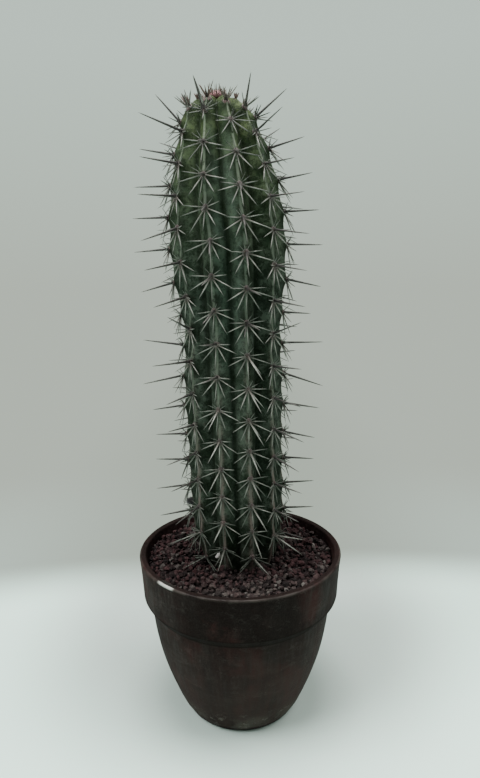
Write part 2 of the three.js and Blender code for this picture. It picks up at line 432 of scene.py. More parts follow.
clayLook = {
    # patterns: scale, detail and roughness of the noise, and from where to where it shows
    "streaks": (6, 5, 0.7, 0.42, 0.62),
    "fineStreaks": (24, 5, 0.75, 0.42, 0.72),
    "brushed": (26, 4, 0.6, 0.50, 0.75),
    "patches": (17, 4, 0.65, 0.47, 0.60),
    "haze": (13, 5, 0.65, 0.44, 0.70),
    "glaze": (22, 5, 0.7, 0.28, 0.48),
    "lime": (30, 5, 0.75, 0.40, 0.58),
    "scuffs": (85, 6, 0.85, 0.56, 0.62),
    "rimWear": (60, 4, 0.5, 0.3, 0.65),
    # colours, from the bare clay up to the painted highlight
    "clay": (0.0074, 0.0028, 0.0027),
    "redClay": (0.0205, 0.0052, 0.0048),
    "dust": (0.0330, 0.0205, 0.0190),
    "darkRuns": (0.0060, 0.0036, 0.0032),
    "paleRuns": (0.044, 0.030, 0.027),
    "brushMarks": (0.042, 0.030, 0.027),
    "glazed": (0.0028, 0.0005, 0.0003),
    "limy": (0.074, 0.066, 0.057),
    "scuffed": (0.160, 0.145, 0.130),
    "dirtyFoot": (0.0070, 0.0055, 0.0048),
    "underCollar": (0.0035, 0.0020, 0.0017),
    "innerRim": (0.0080, 0.0050, 0.0044),
    "wornRim": (0.048, 0.041, 0.036),
    "grains": (0.050, 0.037, 0.033),
    "gleam": (0.42, 0.41, 0.38),
    # a painted highlight on the rim's front left, where the rim is glossy too: its middle, and how
    # it fades, in square metres
    "gleamMiddle": (-60.0 * mm, -66.9 * mm),
    "gleamFade": (0.00003, 0.00011),
}


def clayFinish():
    clay = Finish("darkClay", 0.75, clayLook)
    x, y, z = clay.axes()
    reach = (x * x + y * y) ** 0.5
    # runs down the wall: nearly the same all the way down, different round the pot
    downWall = clay.join(x / reach, y / reach, z * 2.2)
    streaks = clay.pattern("streaks", downWall)
    fineStreaks = clay.pattern("fineStreaks", downWall)
    brushed = clay.pattern("brushed", stretch=(1, 1, 5))
    haze = clay.pattern("haze", stretch=(1, 1, 0.7))
    grain = clay.noise(900, 3, 0.7)
    low = 1 - z.between(10 * mm, 112 * mm)
    # painted shade: a darker middle on the collar's front
    glazed = z.between(bodyTop - 14 * mm, bodyTop + 12 * mm)
    glazed *= (1 - (x * x).between(0.0012, 0.0036)) * (1 - y.between(-0.07, -0.04))
    # lime and scuffs low on the body, a darker bottom edge, painted shade under the collar and a
    # worn rim with a painted highlight along its outer edge
    foot = 1 - z.between(4 * mm, 30 * mm)
    edge = 1 - z.between(0.5 * mm, 5 * mm)
    scuffs = clay.pattern("scuffs", stretch=(1, 1, 1.5))
    under = z.between(bodyTop - 1 * mm, bodyTop + 1 * mm)
    under *= 1 - z.between(bodyTop + 8 * mm, bodyTop + 11 * mm)
    rim = z.between(potTop - 2.4 * mm, potTop - 0.3 * mm)
    outer = reach.between(rimRadius - 2.0 * mm, rimRadius - 1.0 * mm)
    aside, ahead = clayLook["gleamMiddle"]
    gleam = 1 - ((x - aside) ** 2 + (y - ahead) ** 2).between(*clayLook["gleamFade"])
    clay.set("Base Color", clay.layers(
        "clay",
        (clay.pattern("patches"), "redClay"),
        (low * 0.55 + haze * 0.3, "dust"),
        (streaks * 0.6, "darkRuns"),
        (fineStreaks * 0.25, "paleRuns"),
        (brushed * 0.25, "brushMarks"),
        # painted shade on the middle of the collar's front, broken up by a pattern
        (glazed * clay.pattern("glaze"), "glazed"),
        (foot * clay.pattern("lime") * 0.7, "limy"),
        (scuffs * (foot * 0.85 + 0.05), "scuffed"),
        # darker along the bottom few millimetres
        (edge * 0.8, "dirtyFoot"),
        # painted shade under the collar
        (under * 0.9, "underCollar"),
        (rim * (1 - outer) * 0.75, "innerRim"),
        # paler in patches along the rim's outer edge: wear and a painted highlight
        (rim * outer * clay.pattern("rimWear") * 0.6, "wornRim"),
        (grain.between(0.35, 0.7) * 0.14, "grains"),
        # a painted highlight on the rim's front left
        (rim * gleam * outer, "gleam")))
    clay.set("Specular IOR Level", 0.05)
    clay.set("Coat Roughness", 0.2)
    # the painted highlight's spot is glossy, and the rest of the rim's outer edge a little
    clay.set("Coat Weight", rim * (gleam + outer * 0.1))
    clay.set("Roughness", 0.74 - streaks * 0.12 + under * 0.26)
    # rough grain, and on it the marks of turning, brushing and wear
    turning = clay.noise(120, 2, 0.5, clay.join(x * 0.02, y * 0.02, z))
    rough = clay.bump(grain + clay.noise(260, 3, 0.6) * 1.4, 0.4, 0.25 * mm)
    marks = turning + fineStreaks * 0.25 + brushed * 0.3 + scuffs * 0.5
    clay.bump(marks, 0.5, 0.5 * mm, rough)
    return clay.material


def soilFinish():
    soil = Finish("dampSoil", 0.95)
    damp, dry = (0.020, 0.012, 0.008), (0.060, 0.038, 0.026)
    soil.set("Base Color", soil.mix(soil.noise(90, 5, 0.7), damp, dry))
    soil.bump(soil.cells(260), 0.9, 1.2 * mm)
    return soil.material


# The stem

stem = {
    "ribs": 10,
    "cornersPerRib": 24,
    "rings": 168,
    "crowding": 1.12,   # how much closer together the rings are towards the crown
    "firstRib": math.radians(-18),
    "depthShare": 0.21,
    "deeperAtTop": 0.3,
    "deeperFrom": (440 * mm, 508 * mm),
    "deeperUntil": (524 * mm, 517 * mm),
    "plainTip": 17 * mm,   # radius within which the furrows fade out
    "flankCurve": 1.15,
    "crestRounding": 0.12,
    "grooveWidth": 0.1,   # of the narrow round groove in the furrow's bottom
    "grooveDepth": 0.08,
    "ribsStart": 122 * mm,
    "ribsFull": 158 * mm,
    "swelling": 1.8 * mm,   # under each areole, with its reach to the side, down, up and inwards
    "swellingReach": (5.5 * mm, 5.5 * mm, 7 * mm, 9 * mm),
    "shadeReach": (8 * mm, 7.5 * mm),   # of the painted shade round it, which lies a little lower
    "shadeLower": 3.5 * mm,
    "waver": 0.35 * mm,
    # how much waxy bloom lies between each rib and the next; the same table paints light and shade
    # on those flanks
    "wax": [1.0, 0.2, 0.5, 0.8, 0.3, 0.9, 0.4, 0.7, 0.4, 0.45],   # between each rib and the next
    # how far each rib's areoles stand below those of the first rib, in shares of their spacing:
    # low down, and higher up, with the numbers between which one turns into the other
    "lowSteps": [0.03, 0.39, 0.78, 0.15, 0.6, 0, 0.42, 0.8, 0.2, 0.62],
    "highSteps": [0.05, 0.37, 0.66, -0.07, 0.6, 0, 0.42, 0.8, 0.1, 0.6],
    "stepsTurn": (8, 12),
    "areoleRange": (-0.65, 16),
    "halfGrown": 15,   # the areoles from this number up
}
# height, lean and crest radius, from the tip of the root to the crown, in millimetres
stemStations = [
    (96, 0, 8), (108, 0, 17), (126, -0.3, 27), (145, -0.9, 34), (165, -1.9, 38), (190, -2.4, 40),
    (245, -3.6, 40.4), (300, -4.6, 41.4), (345, -5, 40), (365, -5.8, 42.3), (385, -6.6, 45.3),
    (410, -7.7, 47), (440, -9, 45.8), (470, -10.4, 41), (493, -12.1, 35), (510, -14, 28.8),
    (517, -14.6, 25), (522, -15, 20.2), (525.2, -15, 13.2), (527, -14.8, 4),
]
# areole number on a rib, counted from the soil, and its height
areoleStations = [(-1, 141), (4, 259), (10, 416), (14, 511.5), (15, 521.5), (16, 526)]
crownHeight = stemStations[-1][0] * mm
# how far some ribs wander round the stem from their even places: height and degrees
ribWander = {
    0: [(290, 1.8), (330, 0.8), (385, 1.5), (412, 3.8), (440, 0), (465, -1.8), (500, -1.5),
        (527, 0)],
    1: [(150, 0), (220, -1), (300, -1.6), (400, -1.5), (416, -1), (440, -3), (470, -3),
        (500, -2.2), (527, -1)],
    2: [(150, -1), (180, -4), (330, -4), (350, -1.5), (375, -4.5), (400, -6), (440, -6),
        (500, -5), (527, -2)],
    9: [(150, 3.5), (290, 4), (315, 0), (350, 0), (375, 4), (420, 3), (445, 0.5), (527, 0)],
}


def readStations(stations, place, column):
    # a smooth curve through the stations: a cubic with the slopes of its neighbours
    rows = [row[0] for row in stations]
    i = min(max(int(np.searchsorted(rows, place)) - 1, 0), len(rows) - 2)
    left, right = max(i - 1, 0), min(i + 2, len(rows) - 1)
    a, b = stations[i], stations[i + 1]
    width = b[0] - a[0]
    slopeA = (b[column] - stations[left][column]) / (b[0] - stations[left][0])
    slopeB = (stations[right][column] - a[column]) / (stations[right][0] - a[0])
    t = min(max((place - a[0]) / width, 0), 1)
    return (a[column] * (2 * t ** 3 - 3 * t ** 2 + 1) + b[column] * (3 * t ** 2 - 2 * t ** 3)
            + width * (slopeA * (t ** 3 - 2 * t ** 2 + t) + slopeB * (t ** 3 - t ** 2)))


def leanAt(height):
    return readStations(stemStations, height / mm, 1) * mm


def crestAt(height):
    return readStations(stemStations, height / mm, 2) * mm


def flankShare(offCrest):
    # how deep the flank lies from the rounded crest, 0, to the furrow, 1
    rounding = stem["crestRounding"]
    share = (np.hypot(offCrest, rounding) - rounding) / (math.hypot(1, rounding) - rounding)
    return share ** stem["flankCurve"]


def areoleSeats():
    # every areole as (rib, number, height, size)
    seats = []
    first, last = stem["areoleRange"]
    for rib, (low, high) in enumerate(zip(stem["lowSteps"], stem["highSteps"])):
        for number in range(last + 1):
            place = number - low - (high - low) * float(softStep(*stem["stepsTurn"], number))
            if first <= place < last:
                height = readTable(areoleStations, place) * mm
                seats.append((rib, number, height, 1.0 if place < stem["halfGrown"] else 0.5))
    return seats


def wanderAt(rib, height):
    return np.radians(readTable(ribWander.get(rib % stem["ribs"], [(0, 0)]), height / mm))


def ribTurn(rib, height):
    return stem["firstRib"] + rib * 2 * math.pi / stem["ribs"] + float(wanderAt(rib, height))


def areoleFrame(rib, height):
    # a matrix whose Z points out of the rib, whose Y points up along it, set on the crest
    step = 3 * mm
    top = min(height + step, crownHeight)
    turn = ribTurn(rib, height)
    outward = Vector((math.sin(turn), -math.cos(turn), 0))
    along = outward * (crestAt(top) - crestAt(height - step))
    along += Vector((leanAt(top) - leanAt(height - step), 0, top - height + step))
    along.normalize()
    side = along.cross(outward).normalized()
    out = side.cross(along).normalized()
    seatFrame = Matrix((side, along, out)).transposed().to_4x4()
    seatFrame.translation = outward * crestAt(height) + Vector((leanAt(height), 0, height))
    return seatFrame


def stemRings():
    low, high = stemStations[0][0] * mm, stemStations[-1][0] * mm
    rings = [(0.4 * mm, low - 0.2 * mm, 0)]
    for i in range(stem["rings"] + 1):
        share = i / stem["rings"]
        share = 1 - (1 - share) ** stem["crowding"]
        height = low + (high - low) * share
        rings.append((crestAt(height), height, leanAt(height)))
    return rings + [(0.5 * mm, crownHeight + 0.3 * mm, -14.7 * mm)]


def makeStem():
    obj = pullUp("cactusStem", stemRings(), stem["ribs"] * stem["cornersPerRib"], True)
    closeUp(obj)
    places = readPlaces(obj)
    heights = places[:, 2]
    lean = np.array([leanAt(h) for h in heights])
    turns = np.arctan2(places[:, 0] - lean, -places[:, 1]) - stem["firstRib"]
    ribs = turns / (2 * math.pi / stem["ribs"])
    offCrest = 2 * np.abs(ribs - np.round(ribs))
    radius = np.hypot(places[:, 0] - lean, places[:, 1])
    # the corners between two ribs follow both of them round the stem
    wander = np.array([wanderAt(rib, heights) for rib in range(stem["ribs"])])
    row, left, share = np.arange(len(ribs)), np.floor(ribs).astype(int), ribs - np.floor(ribs)
    left, right = left % stem["ribs"], (left + 1) % stem["ribs"]
    turns += stem["firstRib"] + wander[left, row] * (1 - share) + wander[right, row] * share
    places[:, 0], places[:, 1] = lean + radius * np.sin(turns), -radius * np.cos(turns)
    setPlaces(obj, places)
    # furrows with a narrow groove, which deepen towards the crown and end short of it
    fade = softStep(stem["ribsStart"], stem["ribsFull"], heights)
    flank = flankShare(offCrest)
    grooveStart = 1 - stem["grooveWidth"]
    groove = stem["grooveDepth"] * ((offCrest - grooveStart) / stem["grooveWidth"]) ** 2
    flank = np.where(offCrest > grooveStart, flank - groove, flank)
    upper = softStep(*stem["deeperFrom"], heights) * softStep(*stem["deeperUntil"], heights)
    deeper = (1 + stem["deeperAtTop"] * upper) * softStep(0, stem["plainTip"], radius)
    amounts = -radius * stem["depthShare"] * deeper * fade * flank
    # a swelling under each areole, with painted shade round and below it
    near = np.zeros(len(places))
    beside, below, above, inwards = stem["swellingReach"]
    shadeWidth, shadeHeight = stem["shadeReach"]
    for rib, _, height, size in areoleSeats():
        seatFrame = areoleFrame(rib, height)
        across, along, out = ((places - np.array(seatFrame.translation))
                              @ np.array(seatFrame.to_3x3())).T
        tall = np.where(along < 0, below, above) * size
        pull = np.exp(-(across / (beside * size)) ** 2 - (along / tall) ** 2)
        pull *= np.exp(-(out / inwards) ** 2)
        amounts += stem["swelling"] * size * pull
        lower = (along + stem["shadeLower"]) / shadeHeight
        near = np.maximum(near, np.exp(-(across / shadeWidth) ** 2 - lower ** 2) * size)
    wave = np.array([noise.noise(Vector(p) * 55) for p in places])
    amounts += wave * stem["waver"] * softStep(0.1, 0.5, radius / (20 * mm))
    pushOut(obj, amounts, "ribs")
    giveValues(obj, "furrow", offCrest * fade)
    giveValues(obj, "areole", near)
    giveValues(obj, "wax", np.array(stem["wax"])[left])
    smooth(obj, 80)
    return obj


skinLook = {
    # patterns: scale, detail and roughness of the noise, and from where to where it shows
    "blotches": (60, 5, 0.65, 0.38, 0.60),
    "mottle": (230, 5, 0.8, 0.46, 0.56),
    "haze": (34, 4, 0.6, 0.40, 0.58),
    "brokenBand": (90, 4, 0.7, 0.36, 0.58),
    "scars": (150, 5, 0.75, 0.64, 0.70),
    "cork": (70, 4, 0.5, 0.42, 0.62),
    "brokenLine": (190, 3, 0.6, 0.3, 0.5),
    # colours of the low old skin and the young skin above, each with its paler blotches
    "old": (0.0125, 0.0205, 0.0118),
    "oldBlotches": (0.0570, 0.0700, 0.0540),
    "young": (0.0185, 0.0370, 0.0100),
    "youngBlotches": (0.0600, 0.0850, 0.0270),
    "wax": (0.055, 0.079, 0.060),
    "tip": (0.070, 0.084, 0.028),
    "oldCrest": (0.104, 0.078, 0.070),
    "middleCrest": (0.044, 0.052, 0.038),
    "youngCrest": (0.032, 0.046, 0.018),
    "oldFurrow": (0.0019, 0.0045, 0.0012),
    "youngFurrow": (0.0045, 0.0105, 0.0024),
    "scar": (0.058, 0.045, 0.034),
    "corky": (0.022, 0.018, 0.014),
    "pores": (0.042, 0.056, 0.036),
    "oldLine": (0.115, 0.092, 0.082),
    "middleLine": (0.085, 0.104, 0.078),
    "youngLine": (0.140, 0.165, 0.120),
}


def skinFinish():
    skin = Finish("greenSkin", 0.5, skinLook)
    z = skin.axes()[2]
    furrow, areole, wax = (skin.attribute(name) for name in ("furrow", "areole", "wax"))
    youth = z.between(360 * mm, 530 * mm)
    low = 1 - z.between(190 * mm, 330 * mm)
    blotches = skin.pattern("blotches")
    mottle = skin.pattern("mottle")
    haze = skin.pattern("haze", stretch=(1, 1, 0.5))
    pores = skin.noise(620, 3, 0.65)
    scars = skin.pattern("scars") * (1 - youth)
    corky = (1 - z.between(140 * mm, 170 * mm)) * skin.pattern("cork")
    old = skin.mix(blotches, "old", "oldBlotches")
    young = skin.mix(blotches, "young", "youngBlotches")
    # a bluish waxy haze on the flanks of the upper half, as strong as the table's bloom and painted
    # light
    bloomHaze = (haze * 0.5 + 0.5) * z.between(250 * mm, 380 * mm)
    bloomHaze *= 1 - z.between(470 * mm, 520 * mm) * 0.5
    # a grey-brown band along the crest, paler partly in its own colour and partly as painted light
    # where the crest catches it, and on it a thin pale line from areole to areole, glaucous and
    # partly a painted highlight
    band = (1 - furrow.between(0.06, 0.34)) * skin.pattern("brokenBand")
    crest = skin.mix(z.between(180 * mm, 420 * mm), "oldCrest", "middleCrest")
    crest = skin.mix(youth, crest, "youngCrest")
    line = (1 - (furrow - low * 0.02).between(0.03, 0.13)) * skin.pattern("brokenLine")
    pale = skin.mix(z.between(200 * mm, 300 * mm), "oldLine", "middleLine")
    pale = skin.mix(z.between(420 * mm, 490 * mm), pale, "youngLine")
    # the dark of the flecks, and of painted shade on the flanks, in the furrows and round the
    # areoles; flanks are darker where the table has less bloom and paints shade
    dark = skin.mix(youth, "oldFurrow", "youngFurrow")
    flecks = mottle * (0.78 - wax * 0.3 - youth * 0.1)
    flanks = furrow.between(0.1, 0.4) * ((1 - wax) * (0.38 - youth * 0.3) + low * 0.12)
    skin.set("Base Color", skin.layers(
        skin.mix(youth, old, young),
        (bloomHaze * wax * 0.8, "wax"),
        (z.between(505 * mm, 524 * mm) * 0.25, "tip"),
        (band * (low * 0.2 + 0.6), crest),
        (flecks, dark),
        (flanks, dark),
        # painted shade deep in the furrows
        (furrow.between(0.60, 0.96) * 0.78, dark),
        # painted shade round and below each areole
        (areole.between(0.25, 0.85) * 0.74, dark),
        (scars * 0.7, "scar"),
        (corky * 0.5, "corky"),
        (pores.between(0.5, 0.75) * 0.25, "pores"),
        (line * 0.75, pale)))
    skin.set("Specular IOR Level", 0.07)
    skin.set("Roughness", 0.5 + haze * 0.2)
    fine = skin.bump(pores, 0.35, 0.2 * mm)
    skin.bump(blotches + mottle * 0.7, 0.35, 0.9 * mm, fine)
    return skin.material


# The areoles and their spines

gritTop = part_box("gravel")[1].z
areoles = {
    "width": 4.4 * mm,
    "height": 5.2 * mm,
    "rise": 1.9 * mm,
    "segments": 14,
    "rings": 9,
    "lumps": 0.04,   # in shares of its width
    "hairs": 34,
    "hairLength": 1.3 * mm,
    "hairRadius": 0.075 * mm,
    "young": (512 * mm, 521 * mm),   # they turn woolly between these heights
    "youngWider": 0.5,
    "youngFlatter": 0.3,
    "scab": (8, 192 * mm),   # rib and height of a black swollen spot
    "scabSize": (2.0, 1.3, 3.0),
}
# the woolly growing tip
crown = {
    "middle": (-15 * mm, -5 * mm, 526.4 * mm),
    "radius": 8.5 * mm,
    "rise": 4.4 * mm,
    "hairs": 220,
    "hairLength": 2.6 * mm,
    "spines": 40,
    "spineReach": 14 * mm,
    "spineLengths": (5, 10.5),
    "spineWidths": (0.30, 0.46),
}
# all spines
needles = {
    "shapes": 3,   # bent back, straight and bent forward
    "thinSides": 6,
    "thinBend": 0.035,
    "stoutSides": 8,
    "stoutBend": 0.03,
    "young": (512 * mm, 524 * mm),   # they turn reddish between these heights
    "rising": (504 * mm, 522 * mm),   # and stand up round the growing tip between these
    "rise": 1.6,   # how much of that way is upwards
    "lost": 0.3,   # share of the uppermost side spines that have broken off
    "sideFeet": (1.2 * mm, 1.5 * mm, 1.9 * mm),   # how far out and up they stand in the felt
    "middleFoot": (0, 0.3 * mm, 1.7 * mm),
}
# side spines: degrees from the one that points down the rib, length, lift off the rib, thickness
sideSpines = [
    (0, 18, 13, 0.48), (32, 18.5, 17, 0.55), (-33, 19, 17, 0.55), (66, 21, 14, 0.48),
    (-66, 18.5, 17, 0.52), (94, 14, 22, 0.46), (-93, 15.5, 22, 0.46), (122, 9.5, 28, 0.34),
    (-124, 9.5, 28, 0.34), (154, 8, 34, 0.32), (-152, 8, 34, 0.32),
]
# how much their length changes with their height on the stem
sideSpineStations = [(150, 0.88), (250, 0.93), (390, 1.04), (480, 1.06), (503, 0.95), (511, 0.75),
                     (521, 0.55)]
# how much duller all spines are for their height
dullStations = [(150, 0.8), (200, 0.6), (260, 0.3), (320, 0.1), (400, 0.05), (450, 0.2),
                (490, 0.35), (520, 0.55)]
# and how dull the side spines are at least, for how far they turn up the rib, in degrees
turnStations = [(40, 0), (70, 0.35), (95, 0.75), (120, 0.95)]
# the long spine in the middle: height on the stem, length and upward tilt in degrees
middleSpineStations = [
    (150, 25, -14), (250, 28, -8), (380, 32, -2), (455, 33, -8), (485, 33, -3), (504, 33, 16),
    (512, 12, 24), (524, 8, 20), (533, 6, 16),
]
# those seen against the wall, by rib and number on it: length and tilt; and a rib's finer width
outlineSpines = {
    2: {8: (29, 20), 10: (31, -7), 11: (34, -13), 12: (32, -10), 13: (28, -14), 14: (29, 3)},
    3: {1: (27.5, 3), 2: (27.5, 2), 3: (27.5, -5), 4: (29, -12), 5: (32, -9), 6: (37, -21),
        7: (35.5, -2), 8: (24, 2), 9: (30, -9), 10: (30, -4), 11: (29, -6), 12: (28.5, -3),
        13: (30, -4), 14: (33, 10)},
    8: {1: (29, -7), 2: (30, -5), 3: (29, 2), 4: (27.5, 1), 5: (28.5, -6), 6: (36, -13),
        7: (35, 6), 9: (29, -7), 10: (29.5, -2), 11: (29.5, -4), 12: (29.5, -9),
        13: (28.5, -2), 14: (29, 30)},
    9: {6: (26, -12), 7: (35, -4), 8: (23, 32), 9: (31, -3), 10: (33, -6), 11: (34, -19),
        12: (33, -9), 13: (33, -8), 14: (37.5, -2)},
}
outlineWidths = {2: 0.8}
# others that stand apart: length, tilt, sway in degrees, thickness, pale
ownSpines = {
    (0, 14): [(23.5, 42, -7, 1.45, False), (15, 34, 2, 0.8, True)],
    (2, 15): [(23.5, 36, -6, 0.95, False)],
    (1, 14): [(9, 10, 8, 0.45, False)],
    (9, 1): [(30, -7, -22, 0.62, True), (17, -20, -30, 0.5, True)],
    (9, 0): [(24, 4, -8, 0.58, True)],
    (2, 1): [(29, -17, 6, 0.78, True), (27, 5, 18, 0.70, True)],
    (8, 8): [(14, -20, 0, 0.5, True)],
}
# Low on the two front ribs they are pale and hang down, up to a height: with their share of the
# usual length, their tilt and sway, how much these two vary, and their thickness.
hangingSpines = {0: (300 * mm, 0.8, -34, -14, 8, 0.68), 1: (345 * mm, 0.86, -48, 24, 6, 0.74)}
# Above a height the same ribs' spines point almost straight at the viewer.
facing = {"above": 400 * mm, "share": 0.8, "tilt": -22, "loose": 5, "sway": 14, "thickness": 0.85}
# Of the other areoles many have a second spine: how many, and its share of the first one's length.
second = {"often": 0.45, "share": (0.4, 0.55), "tilt": -38, "loose": 12, "sway": (14, 34),
          "thickness": 0.58, "pale": 0.5}

# outlines of one spine, of unit length and unit radius: (radius, place along it)
bluntOutline = [(0.8, -0.03), (1.3, 0.05), (0.98, 0.17), (0.86, 0.5), (0.54, 0.82), (0.04, 1.0)]
stoutOutline = [(0.8, -0.04), (1.5, 0.03), (0.96, 0.11), (0.82, 0.38), (0.60, 0.68), (0.34, 0.9),
                (0.04, 1.0)]
hairOutline = [(1.0, 0.0), (0.8, 0.5), (0.1, 1.0)]


def makeNeedle(name, outline, sides, curve):
    # stands along Z with a swollen foot and bends by its curve
    obj = pullUp(name, [(radius, place, 0) for radius, place in outline], sides, True)
    places = readPlaces(obj)
    along = np.clip(places[:, 2], 0, 1)
    places[:, 1] += curve * along * (1 - along) * 4
    setPlaces(obj, places)
    giveValues(obj, "along", along)
    smooth(obj, 70)
    return obj


def needleMatrix(root, direction, length, thickness, roll):
    turn = direction.to_track_quat("Z", "Y").to_matrix().to_4x4() @ Matrix.Rotation(roll, 4, "Z")
    return Matrix.Translation(root) @ turn @ sized(thickness, thickness, length)


def turned(angle, lift):
    # a direction in an areole's own axes: Z out of the rib, Y up along it
    a, l = math.radians(angle), math.radians(lift)
    return Vector((math.sin(a) * math.cos(l), -math.cos(a) * math.cos(l), math.sin(l)))


def swayed(tilt, sway):
    # the same for a spine that stands out: tilted up and swayed aside
    t, s = math.radians(tilt), math.radians(sway)
    return Vector((math.sin(s) * math.cos(t), math.sin(t), math.cos(t) * math.cos(s)))


def clearOfGrit(root, direction, length):
    # a low spine rests on the grit in place of running into it
    lowest = gritTop - 1.5 * mm
    if root.z + direction.z * length >= lowest:
        return direction
    rise = max((lowest - root.z) / length, -0.95)
    flat = Vector((direction.x, direction.y, 0)).normalized() * math.sqrt(1 - rise ** 2)
    return Vector((flat.x, flat.y, rise))


def makeFelt(name, width, height, rise, hairCount, hairLength):
    # a felt dome with fine hairs all over it
    size = Vector((width / 2, height / 2, rise))
    selectNothing()
    bpy.ops.mesh.primitive_uv_sphere_add(segments=areoles["segments"],
                                         ring_count=areoles["rings"], radius=1)
    obj = bpy.context.object
    obj.name = name
    editAll(obj)
    bpy.ops.transform.resize(value=size)
    bpy.ops.transform.vertex_random(offset=width * areoles["lumps"], seed=4)
    endEdit()
    pieces = [settle(obj)]
    hair = makeNeedle("hair", hairOutline, 3, 0.12)
    for x, y, share in spread(hairCount):
        direction = Vector((x, y, 1.15 - share)).normalized()
        root = direction * size * 0.93
        length = hairLength * random.uniform(0.6, 1.2)
        roll = random.uniform(0, 6)
        matrix = needleMatrix(root, direction, length, areoles["hairRadius"], roll)
        pieces.append(copyAt(hair, matrix, 0))
    discard([hair])
    felt = joined(pieces, name)
    smooth(felt, 60)
    return felt


def makeCushions():
    random.seed(5)
    model = makeFelt("felt", areoles["width"], areoles["height"], areoles["rise"],
                     areoles["hairs"], areoles["hairLength"])
    pieces = []
    for rib, _, height, size in areoleSeats():
        youth = float(softStep(*areoles["young"], height))
        grow = size * random.uniform(0.9, 1.12)
        wide = grow * (1 + areoles["youngWider"] * youth)
        across, along = wide * (1 + vary(0.08)), wide * (1 + vary(0.08))
        thick = grow * (1 - areoles["youngFlatter"] * youth)
        lift = stem["swelling"] * size * 0.7 * (1 - youth)
        local = Matrix.Translation((0, 0, lift)) @ sized(across, along, thick)
        pieces.append(copyAt(model, areoleFrame(rib, height) @ local, youth, random.random()))
    scab = areoleFrame(*areoles["scab"]) @ sized(*areoles["scabSize"])
    pieces.append(copyAt(model, scab, 0, 3))
    wool = makeFelt("wool", crown["radius"] * 2, crown["radius"] * 2, crown["rise"],
                    crown["hairs"], crown["hairLength"])
    pieces.append(copyAt(wool, Matrix.Translation(crown["middle"]), 2, 0.2))
    discard([model, wool])
    return joined(pieces, "feltCushions")


feltLook = {
    "grey": (0.068, 0.041, 0.036),
    "dull": (0.035, 0.022, 0.020),
    "fresh": (0.150, 0.122, 0.112),   # a few are freshly woolled
    "young": (0.095, 0.050, 0.044),
    "tip": (0.240, 0.100, 0.106),
    "fuzz": (0.022, 0.016, 0.014),
    "scab": (0.003, 0.002, 0.002),
}


def feltFinish():
    felt = Finish("greyFelt", 0.95, feltLook)
    # tint runs from old, 0, to young, 1, and is 2 on the tip; shade goes up to 1, 3 is the scab
    tint, shade = felt.attribute("tint"), felt.attribute("shade")
    fuzz = felt.noise(1500, 3, 0.7)
    felt.set("Base Color", felt.layers(
        felt.mix(shade, "grey", "dull"),
        ((1 - shade.between(0.1, 0.3)) * 0.5, "fresh"),
        (tint.between(0.1, 0.9), "young"),
        (tint.between(1.1, 1.9), "tip"),
        # painted shade among the felt's fuzz
        (fuzz.between(0.3, 0.7) * 0.5, "fuzz"),
        (shade.between(1.5, 2), "scab")))
    felt.set("Sheen Weight", 0.3)
    felt.bump(fuzz, 0.6, 0.2 * mm)
    return felt.material


def middleSpines(rib, number, height):
    # The spines in an areole's middle: length, tilt, sway in degrees, thickness, and whether pale.
    if (rib, number) in ownSpines:
        return ownSpines[rib, number]
    if number in outlineSpines.get(rib, {}):
        length, tilt = outlineSpines[rib][number]
        return [(length, tilt, 0, outlineWidths.get(rib, 1.0), False)]
    heights, lengths, tilts = zip(*middleSpineStations)
    length = np.interp(height / mm, heights, lengths) * (1 + vary(0.12))
    tilt = np.interp(height / mm, heights, tilts) + vary(7)
    if rib in hangingSpines and height > facing["above"]:
        down, aside = facing["tilt"] + vary(facing["loose"]), facing["sway"]
        aside = aside if rib == 0 else -aside
        return [(length * facing["share"], down, aside, facing["thickness"], False)]
    spines = [(length, tilt, vary(6), 0.9, False)]
    top, share, down, aside, loose, thickness = hangingSpines.get(rib, [0] * 6)
    if height < top:
        down += vary(loose)
        return [(length * share, down, aside + vary(loose), thickness, True)]
    if random.random() < second["often"]:
        length *= random.uniform(*second["share"])
        down = second["tilt"] + vary(second["loose"])
        aside = random.choice((-1, 1)) * random.uniform(*second["sway"])
        pale = random.random() < second["pale"]
        spines.append((length, down, aside, second["thickness"], pale))
    return spines


